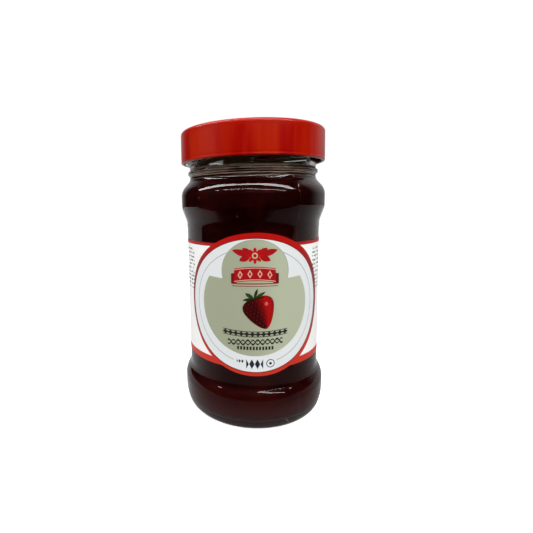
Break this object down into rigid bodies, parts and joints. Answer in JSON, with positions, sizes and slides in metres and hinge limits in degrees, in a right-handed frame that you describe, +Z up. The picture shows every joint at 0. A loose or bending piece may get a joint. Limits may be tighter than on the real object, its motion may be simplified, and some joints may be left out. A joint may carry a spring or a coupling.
{
  "type": "jam jar",
  "caption": "Sealed waisted glass jar of dark red strawberry jam with a red twist-off metal lid and a wrap-round paper label whose oval front stands above and below its band.",
  "frame": {"origin": "middle of the circle that the jar stands on, in the plane of its foot", "axes": "+Z up along the jar's axis, towards the lid; -Y is the front, where the middle of the oval label is; +X is to the right as the label is read"},
  "size_m": [0.067, 0.067, 0.1278],
  "materials": {
    "clear_glass": "smooth, gloss, faint green-grey tint",
    "strawberry_jam": "dark red jelly, wet gloss",
    "red_lacquer": "gloss red lacquer on tinplate",
    "printed_paper": "coated paper with a semi-gloss print in white, sage and red"
  },
  "bodies": {
    "root": {"jar_glass": "clear_glass", "jam": "strawberry_jam", "lid": "red_lacquer", "label": "printed_paper"}
  },
  "joints": []
}
